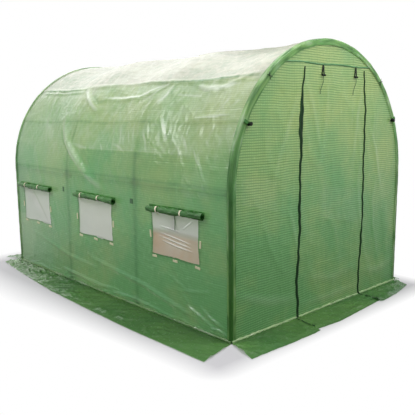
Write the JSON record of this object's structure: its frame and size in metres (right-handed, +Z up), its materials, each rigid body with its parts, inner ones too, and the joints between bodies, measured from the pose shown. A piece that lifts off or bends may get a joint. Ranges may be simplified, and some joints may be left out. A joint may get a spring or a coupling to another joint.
{
  "type": "garden tunnel greenhouse",
  "caption": "Arched tunnel greenhouse: jointed tubular hoops under a translucent woven cover with a zipped door, roll-up side windows and a ground skirt.",
  "frame": {"origin": "on the ground under the middle of the tunnel", "axes": "+Z up, +Y along the tunnel from the door end to the rear, +X to the right seen from the door"},
  "size_m": [2.6, 3.5, 1.9498],
  "materials": {
    "frame_tube": "galvanised",
    "tube_joint": "matt",
    "cover_sheet": "glossy translucent woven sheet",
    "hem_sheet": "glossy",
    "zip_tape": "matt",
    "skirt_sheet": "glossy",
    "window_net": "fine net",
    "flap_sheet": "glossy",
    "tie_tape": "woven",
    "strap_webbing": "matt",
    "door_cord": "braided",
    "cap_plastic": "matt"
  },
  "bodies": {
    "root": {"front_hoop": "frame_tube", "mid_front_hoop": "frame_tube", "mid_rear_hoop": "frame_tube", "rear_hoop": "frame_tube", "ridge_purlin": "frame_tube", "left_upper_purlin": "frame_tube", "right_upper_purlin": "frame_tube", "left_side_purlin": "frame_tube", "right_side_purlin": "frame_tube", "left_base_rail": "frame_tube", "right_base_rail": "frame_tube", "rear_base_rail": "frame_tube", "rear_bay_braces": "frame_tube", "shoulder_purlins": "frame_tube", "front_hoop_joints": "tube_joint", "mid_front_hoop_joints": "tube_joint", "mid_rear_hoop_joints": "tube_joint", "rear_hoop_joints": "tube_joint", "left_feet": "tube_joint", "right_feet": "tube_joint", "shoulder_clamps": "tube_joint", "roof_cover": "cover_sheet", "left_wall": "cover_sheet", "right_wall": "cover_sheet", "front_gable": "cover_sheet", "front_left_panel": "cover_sheet", "front_right_panel": "cover_sheet", "door_panel": "cover_sheet", "rear_panel": "cover_sheet", "front_hem": "hem_sheet", "rear_hem": "hem_sheet", "front_cross_seam": "hem_sheet", "door_zips": "zip_tape", "left_skirt": "skirt_sheet", "right_skirt": "skirt_sheet", "front_skirt": "skirt_sheet", "rear_skirt": "skirt_sheet", "left_window_nets": "window_net", "right_window_nets": "window_net", "left_window_flaps": "flap_sheet", "right_window_flaps": "flap_sheet", "left_flap_ties": "tie_tape", "right_flap_ties": "tie_tape", "door_straps": "strap_webbing", "first_door_cord": "door_cord", "second_door_cord": "door_cord", "purlin_caps": "cap_plastic"}
  },
  "joints": []
}
